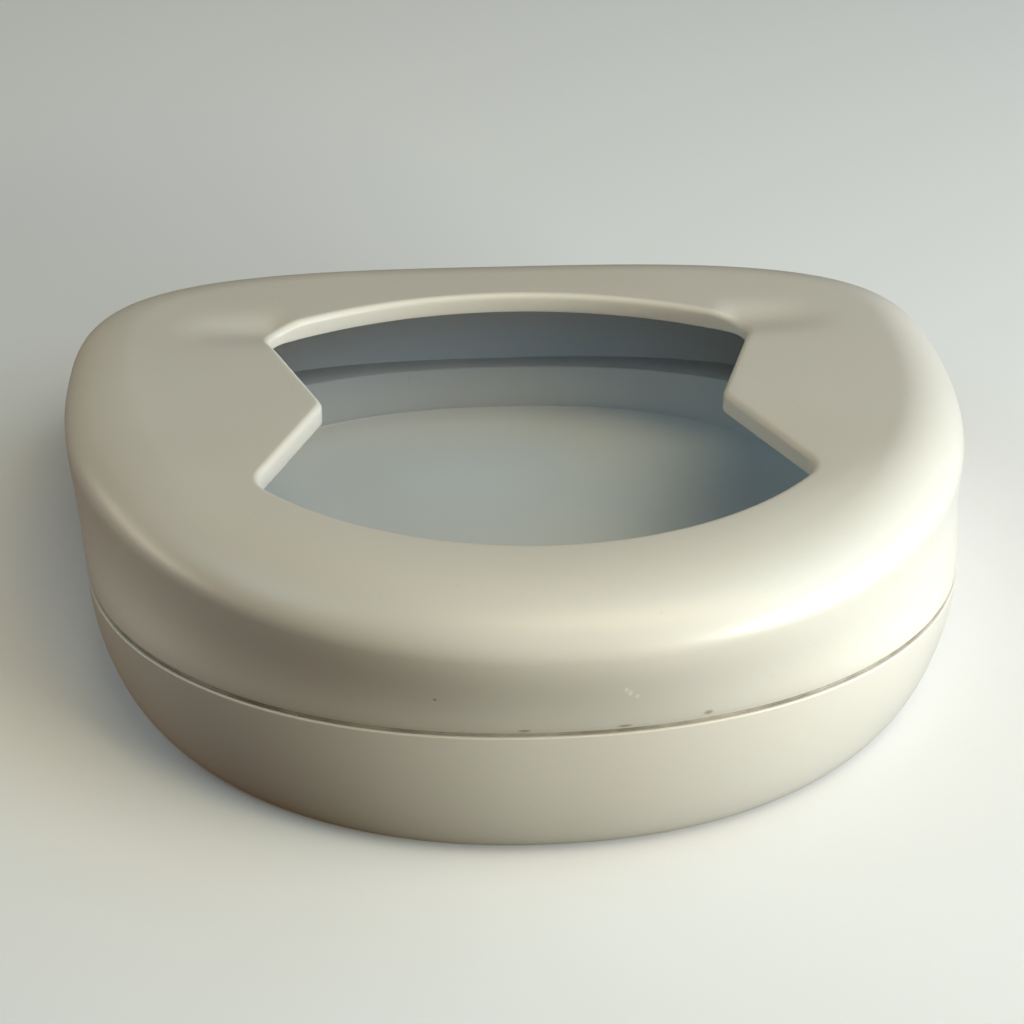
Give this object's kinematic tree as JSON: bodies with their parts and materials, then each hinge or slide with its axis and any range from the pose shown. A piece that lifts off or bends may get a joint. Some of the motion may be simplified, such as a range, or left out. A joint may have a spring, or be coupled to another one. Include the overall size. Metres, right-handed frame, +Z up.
{
  "type": "bedpan",
  "caption": "Free-standing bedpan: a broad-shouldered seat moulding with a figure-of-eight opening over a wedge-shaped basin, joined along one seam.",
  "frame": {"origin": "middle of the pan's bounding box, on the surface that the flat base stands on", "axes": "+Z up, +X across the seat (the width), -Y towards the front rim, which is the higher one"},
  "size_m": [0.36, 0.2934, 0.1092],
  "materials": {
    "seat_plastic": "glossy off-white moulded polypropylene",
    "basin_plastic": "glossy off-white moulded polypropylene",
    "seam_sealant": "dark, dirt-holding weld and sealant bead"
  },
  "bodies": {
    "root": {"seat_shell": "seat_plastic", "basin_shell": "basin_plastic", "seam_bead": "seam_sealant"}
  },
  "joints": []
}
